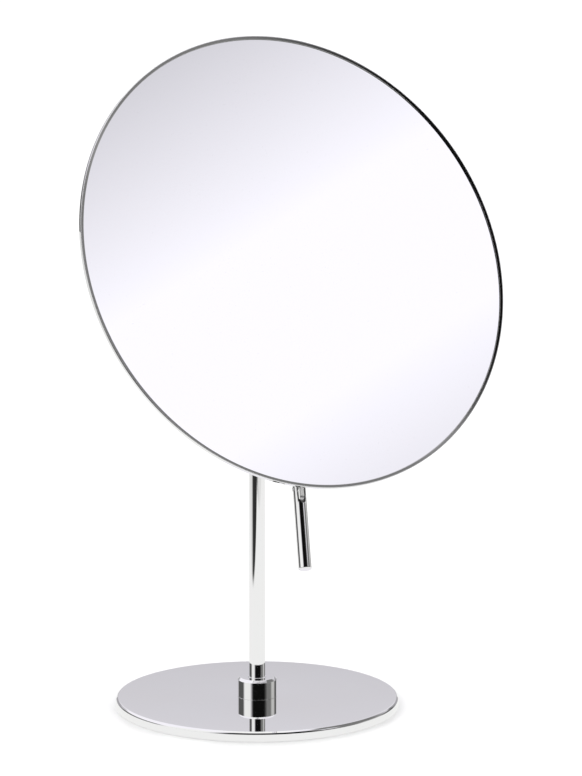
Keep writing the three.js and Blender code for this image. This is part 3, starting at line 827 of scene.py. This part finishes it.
# ---- handle ----
def handle_bracket():
    """Foot strip with rounded ends, and the upright web that ends in the slot's tongue."""
    size = Extent("handle_bracket", HEAD)
    rod_size = Extent("handle_rod", HEAD)
    level = rod_size.middle.z
    foot = Extent("bracket_plate", HEAD)
    strip_low = Vector((size.corner_low.x, -STRIP_END, size.high - STRIP_THICKNESS))
    strip_high = Vector((size.corner_high.x, size.corner_high.y, size.high))
    strip = add_edges(box_object("strip", strip_low, strip_high, HEAD), 0.25 * MM)
    tip, nose, rear = -size.corner_low.y, TONGUE_DEPTH / 2, strip_low.z + 0.5 * MM
    side = [(-strip_high.y + 3 * MM, rear), (STRIP_END, rear), (WEB_FRONT_BEND, level + nose)]
    side += [(tip - nose + nose * math.sin(a), level + nose * math.cos(a))
             for a in (math.pi * i / 16 for i in range(17))]
    side += [(WEB_REAR_BEND, level - nose)]
    web_place = HEAD @ Matrix(((0, 0, 1, 0), (-1, 0, 0, 0), (0, 1, 0, 0), (0, 0, 0, 1)))
    web = add_edges(prism("web", side, -TONGUE_WIDTH / 2, TONGUE_WIDTH / 2, web_place), 0.25 * MM)
    combine(strip, [web], "UNION")
    cut(strip, *drills(bracket_places(), BRACKET_SCREW_HOLE, foot.low - 6 * MM, foot.high))
    cut(strip, pin_drill())
    stands_for(strip, "handle_bracket")


def pin_place():
    middle = Extent("handle_pin", HEAD).middle
    across = HEAD.to_3x3() @ Vector((1, 0, 0))
    return axis_place(HEAD @ middle, across, MIRROR_AXIS)


def pin_drill():
    return rod("pin_drill", PIN_HOLE, -6 * MM, 6 * MM, pin_place())


def bracket_plate():
    size = Extent("bracket_plate", HEAD)
    plate = box_object("inner_plate", size.corner_low, size.corner_high, HEAD)
    cut(plate, *drills(bracket_places(), BRACKET_SCREW_HOLE, size.low - MM, size.high + MM))
    stands_for(add_edges(plate), "bracket_plate")


def handle_rod():
    size = Extent("handle_rod", HEAD)
    centre = Vector((0, 0, size.middle.z))
    place = axis_place(HEAD @ centre, HEAD.to_3x3() @ Vector((0, -1, 0)), MIRROR_AXIS)
    along = Extent("handle_rod", place)
    outline = rounded([(0, along.low), (along.outer, along.low, 0.3 * MM),
                       (along.outer, along.high, 0.6 * MM), (0, along.high)], 8)
    bar = lathe("bar", outline, place, MEDIUM_STEPS)
    half, end = SLOT_WIDTH / 2, along.low + SLOT_LENGTH
    slot = [(half, along.low - MM), (half, end - half)]
    slot += [(half * math.cos(a), end - half + half * math.sin(a))
             for a in (math.pi * i / 24 for i in range(1, 24))]
    slot += [(-half, end - half), (-half, along.low - MM)]
    slot_place = place @ Matrix(((1, 0, 0, 0), (0, 0, -1, 0), (0, 1, 0, 0), (0, 0, 0, 1)))
    cut(bar, prism("slot", slot, -6 * MM, 6 * MM, slot_place), pin_drill())
    stands_for(add_edges(bar, 0.12 * MM, 50), "handle_rod")


def handle_pin():
    place = pin_place()
    size = Extent("handle_pin", place)
    outline = rounded([(0, size.low), (size.outer, size.low, 0.3 * MM),
                       (size.outer, size.high, 0.3 * MM), (0, size.high)], 5)
    stands_for(lathe("pin", outline, place, SMALL_STEPS), "handle_pin")


foot_pad()
base_plate()
base_screw()
lock_washer()
base_collar()
set_screw("collar_set_screw")
post_tube()
post_foot_plug()
post_head()
set_screw("head_set_screw")
ball_stud()
stud_locknut()
liners()
socket_housing()
pressure_pad()
disc_spring()
hub_plate()
for number in range(1, 5):
    head_screw(f"hub_screw_{number}", HUB_SCREW_SHANK, HUB_SCREW_PITCH)
back_pan()
rim_ring()
mirror_glass()
flat_ring("glass_gasket", 0.1 * MM)
flat_ring("backing_pad", 0.3 * MM)
handle_bracket()
bracket_plate()
for number in (1, 2):
    head_screw(f"bracket_screw_{number}", BRACKET_SCREW_SHANK, BRACKET_SCREW_PITCH)
handle_rod()
handle_pin()


# ---- studio ----
class Angles:
    """Azimuth in degrees (0 towards -Y, growing towards +X) and elevation in degrees of a direction."""

    def __init__(self, n, vector):
        x, y, z = n.node("ShaderNodeSeparateXYZ", {"Vector": vector}).outputs
        to_degrees = 180 / math.pi
        self.n = n
        self.azimuth = n.math("MULTIPLY", n.math("ARCTAN2", x, n.math("MULTIPLY", y, -1)), to_degrees)
        self.elevation = n.math("MULTIPLY", n.math("ARCSINE", z), to_degrees)

    def card(self, color, azimuth, half_width, soft, low, high, tone):
        """Lays a soft-edged card of one tone over a colour."""
        n = self.n
        turned = n.math("FLOORED_MODULO", n.math("ADD", self.azimuth, 180 - azimuth), 360)
        off = n.math("ABSOLUTE", n.math("SUBTRACT", turned, 180))
        inside = n.remap(off, half_width - soft, half_width + soft, 1, 0, True)
        above = n.remap(self.elevation, low - CARD_SOFT, low + CARD_SOFT, 0, 1, True)
        below = n.remap(self.elevation, high - CARD_SOFT, high + CARD_SOFT, 1, 0, True)
        factor = n.math("MULTIPLY", inside, n.math("MULTIPLY", above, below))
        return n.mix_color(factor, color, grey(tone))


CARD_SOFT = 3      # softness of a card's lower and upper edge, in degrees
# Cards round the mirror: azimuth, half width, softness of the sides, lowest and highest elevation, tone
CARDS = [
    (-15, 50, 12, -5, 65, 0.005),    # the dark room in front
    (-145, 30, 10, -5, 20, 0.1),     # a dark stand behind on the left
    (-92, 22, 8, -5, 60, 0.95),      # left soft box
    (65, 42, 15, -5, 62, 0.2),       # grey wall on the right
    (75, 15, 8, -5, 16, 0.65),       # right soft box
    (105, 12, 6, -5, 20, 0.1),       # a dark gap beside it
]
WALL_HEIGHTS = (12, 18)
WALL_TONES = (0.4, 1.0)
CEILING_FROM = (65, 73)
COOL = (1.0, 0.98, 1.05)
SOFT_WHITE = 1.3


def studio_world():
    """Even white for the eye and for soft light; a room of plain cards for what the chrome reflects."""
    world = bpy.data.worlds.new("studio")
    bpy.context.scene.world = world
    world.use_nodes = True
    n = Nodes(world.node_tree)
    angles = Angles(n, n.node("ShaderNodeTexCoord").outputs["Generated"])
    room = n.mix_color(n.remap(angles.elevation, *WALL_HEIGHTS, 0, 1), *(grey(t, COOL) for t in WALL_TONES))
    for card in CARDS:
        room = angles.card(room, *card)
    room = n.mix_color(n.remap(angles.elevation, *CEILING_FROM, 0, 1, True), room, grey(1.0))
    ray = n.node("ShaderNodeLightPath").outputs["Is Glossy Ray"]
    color = n.mix_color(ray, grey(SOFT_WHITE), room)
    background = n.node("ShaderNodeBackground", {"Color": color, "Strength": 1.0})
    output = n.node("ShaderNodeOutputWorld")
    n.tree.links.new(background.outputs[0], output.inputs["Surface"])


def floor():
    bpy.ops.mesh.primitive_plane_add(size=40)
    plane = bpy.context.object
    plane.name = "floor"
    material, n, shader, coords = start_material("pale_floor")
    n.feed(shader.inputs["Base Color"], n.mix_color(n.noise(coords, 40), grey(0.94), grey(0.955)))
    n.feed(shader.inputs["Roughness"], 0.3)
    n.feed(shader.inputs["Specular IOR Level"], 0.1)
    plane.data.materials.append(material)
    plane.visible_glossy = False


def emitter(name):
    material = bpy.data.materials.new(name)
    material.use_nodes = True
    n = Nodes(material.node_tree)
    emission = n.node("ShaderNodeEmission")
    output = n.node("ShaderNodeOutputMaterial")
    n.tree.links.new(emission.outputs[0], output.inputs["Surface"])
    return material, n, emission


def reflected_only(obj):
    """Seen in polished surfaces, but not by the camera, and it lights nothing."""
    obj.visible_camera = False
    obj.visible_diffuse = False
    obj.visible_transmission = False
    obj.visible_shadow = False


# Painted light on the table that the chrome reflects: a lit patch near the stand, and painted shade beyond it
LIT_TABLE_LEFT = 0.27
LIT_TABLE_FRONT = 0.45
LIT_TABLE_SOFT = 0.02
LIT_TABLE_TONE = 0.93
SHADED_TABLE_TONE = 0.8
# painted shade: a near-black stretch of the reflected table towards the front left
DARK_TABLE_SHADE = (-60, 40, 15, -10, 10, 0.03)      # a card, as above


def table_in_reflections():
    """What the chrome sees of the table, painted on a glowing plane: a bright lit patch near the stand, and
    painted shade beyond it towards the dark room in front.
    """
    bpy.ops.mesh.primitive_plane_add(size=40, location=(0, 0, -0.0002))
    sheet = bpy.context.object
    sheet.name = "painted_table_reflection"
    material, n, emission = emitter("painted_table_reflection")
    position = n.node("ShaderNodeNewGeometry").outputs["Position"]
    flat = n.node("ShaderNodeVectorMath", {0: position, 1: (1, 1, 0)}, operation="MULTIPLY").outputs[0]
    direction = n.node("ShaderNodeVectorMath", {0: flat}, operation="NORMALIZE").outputs[0]
    table = Angles(n, direction).card(grey(SHADED_TABLE_TONE), *DARK_TABLE_SHADE)
    x, y, _ = n.node("ShaderNodeSeparateXYZ", {"Vector": position}).outputs
    past = [n.remap(place, -edge - LIT_TABLE_SOFT, -edge + LIT_TABLE_SOFT, 1, 0, True)
            for place, edge in ((x, LIT_TABLE_LEFT), (y, LIT_TABLE_FRONT))]
    beyond = n.math("MAXIMUM", *past)
    # the glowing plane's colour: painted light near the stand, painted shade beyond it
    n.feed(emission.inputs["Color"], n.mix_color(beyond, grey(LIT_TABLE_TONE), table))
    n.feed(emission.inputs["Strength"], 1.0)
    sheet.data.materials.append(material)
    reflected_only(sheet)


PANEL_DISTANCE = 1.3
PANEL_SIZE = 0.4
PANEL_AZIMUTH = 39
PANEL_HEIGHT_ANGLE = 36


def glass_panel():
    """The soft panel that the mirror shows, darker towards its top and a little at its bottom."""
    away = back_vector(PANEL_AZIMUTH, PANEL_HEIGHT_ANGLE)
    glass = Extent("mirror_glass", HEAD)
    middle = HEAD @ Vector((0, 0, glass.high))
    bpy.ops.mesh.primitive_plane_add(size=PANEL_SIZE)
    panel = bpy.context.object
    panel.name = "panel"
    panel.matrix_world = axis_place(middle + away * PANEL_DISTANCE, -away, Vector((0, 0, 1)))
    material, n, emission = emitter("panel")
    coords = n.node("ShaderNodeTexCoord").outputs["Object"]
    up = n.node("ShaderNodeSeparateXYZ", {"Vector": coords}).outputs[1]
    top = n.remap(up, 0.02, PANEL_SIZE / 2, 0, 0.45)
    bottom = n.remap(up, -0.1, -PANEL_SIZE / 2, 0, 0.2)
    shade = n.math("MAXIMUM", top, bottom)
    n.feed(emission.inputs["Color"], n.mix_color(shade, grey(1.05, COOL), grey(0.0)))
    n.feed(emission.inputs["Strength"], 1.0)
    panel.data.materials.append(material)
    reflected_only(panel)


def soft_light():
    data = bpy.data.lights.new("overhead", "AREA")
    data.shape = "SQUARE"
    data.size = 2.4
    data.energy = 6
    light = bpy.data.objects.new("overhead", data)
    light.location = (0.4, -0.5, 2.2)
    light.visible_glossy = False
    bpy.context.scene.collection.objects.link(light)


CAMERA_DISTANCE = 3.0
CAMERA_FROM = (-31.0, 14.62)
CAMERA_LOOKS = (-31.33, 11.71)
CAMERA_LENS = 280.7


def back_vector(azimuth, elevation):
    a, e = math.radians(azimuth), math.radians(elevation)
    return Vector((math.sin(a) * math.cos(e), -math.cos(a) * math.cos(e), math.sin(e)))


def camera():
    data = bpy.data.cameras.new("camera")
    data.lens = CAMERA_LENS
    data.sensor_width = 36
    data.clip_end = 100
    cam = bpy.data.objects.new("camera", data)
    foot_top = Vector((0, 0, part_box("base_plate")[1].z))
    cam.location = foot_top + back_vector(*CAMERA_FROM) * CAMERA_DISTANCE
    cam.rotation_mode = "QUATERNION"
    cam.rotation_quaternion = (-back_vector(*CAMERA_LOOKS)).to_track_quat("-Z", "Y")
    bpy.context.scene.collection.objects.link(cam)
    bpy.context.scene.camera = cam


studio_world()
floor()
table_in_reflections()
glass_panel()
soft_light()
camera()
bpy.context.scene.view_settings.view_transform = "Standard"
